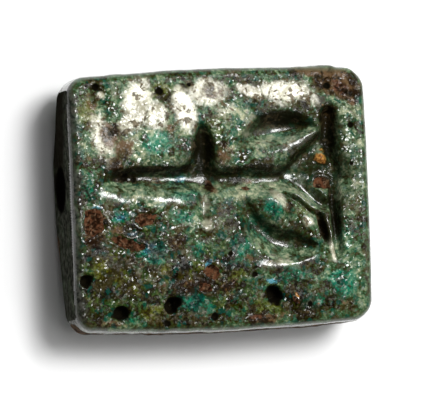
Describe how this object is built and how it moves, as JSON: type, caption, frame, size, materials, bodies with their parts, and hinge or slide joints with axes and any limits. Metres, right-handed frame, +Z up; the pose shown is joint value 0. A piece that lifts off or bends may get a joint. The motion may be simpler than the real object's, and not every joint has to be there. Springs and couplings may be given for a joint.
{
  "type": "glazed plaque amulet",
  "caption": "Small rectangular glazed plaque bead, pierced lengthwise for a string, with a stemmed sign between two almond lobes sunk in its face and a low ridged back.",
  "frame": {"origin": "under the middle of the plaque, on the plane that it rests on", "axes": "+X along the bore, towards the sign's end bar; +Y towards the long side that the bore lies nearer to; +Z up, out of the carved face"},
  "size_m": [0.0142, 0.0124, 0.0044],
  "materials": {
    "glaze": "glossy worn glaze, blue-green with brown inclusions and pits"
  },
  "bodies": {
    "root": {"plaque": "glaze"}
  },
  "joints": []
}
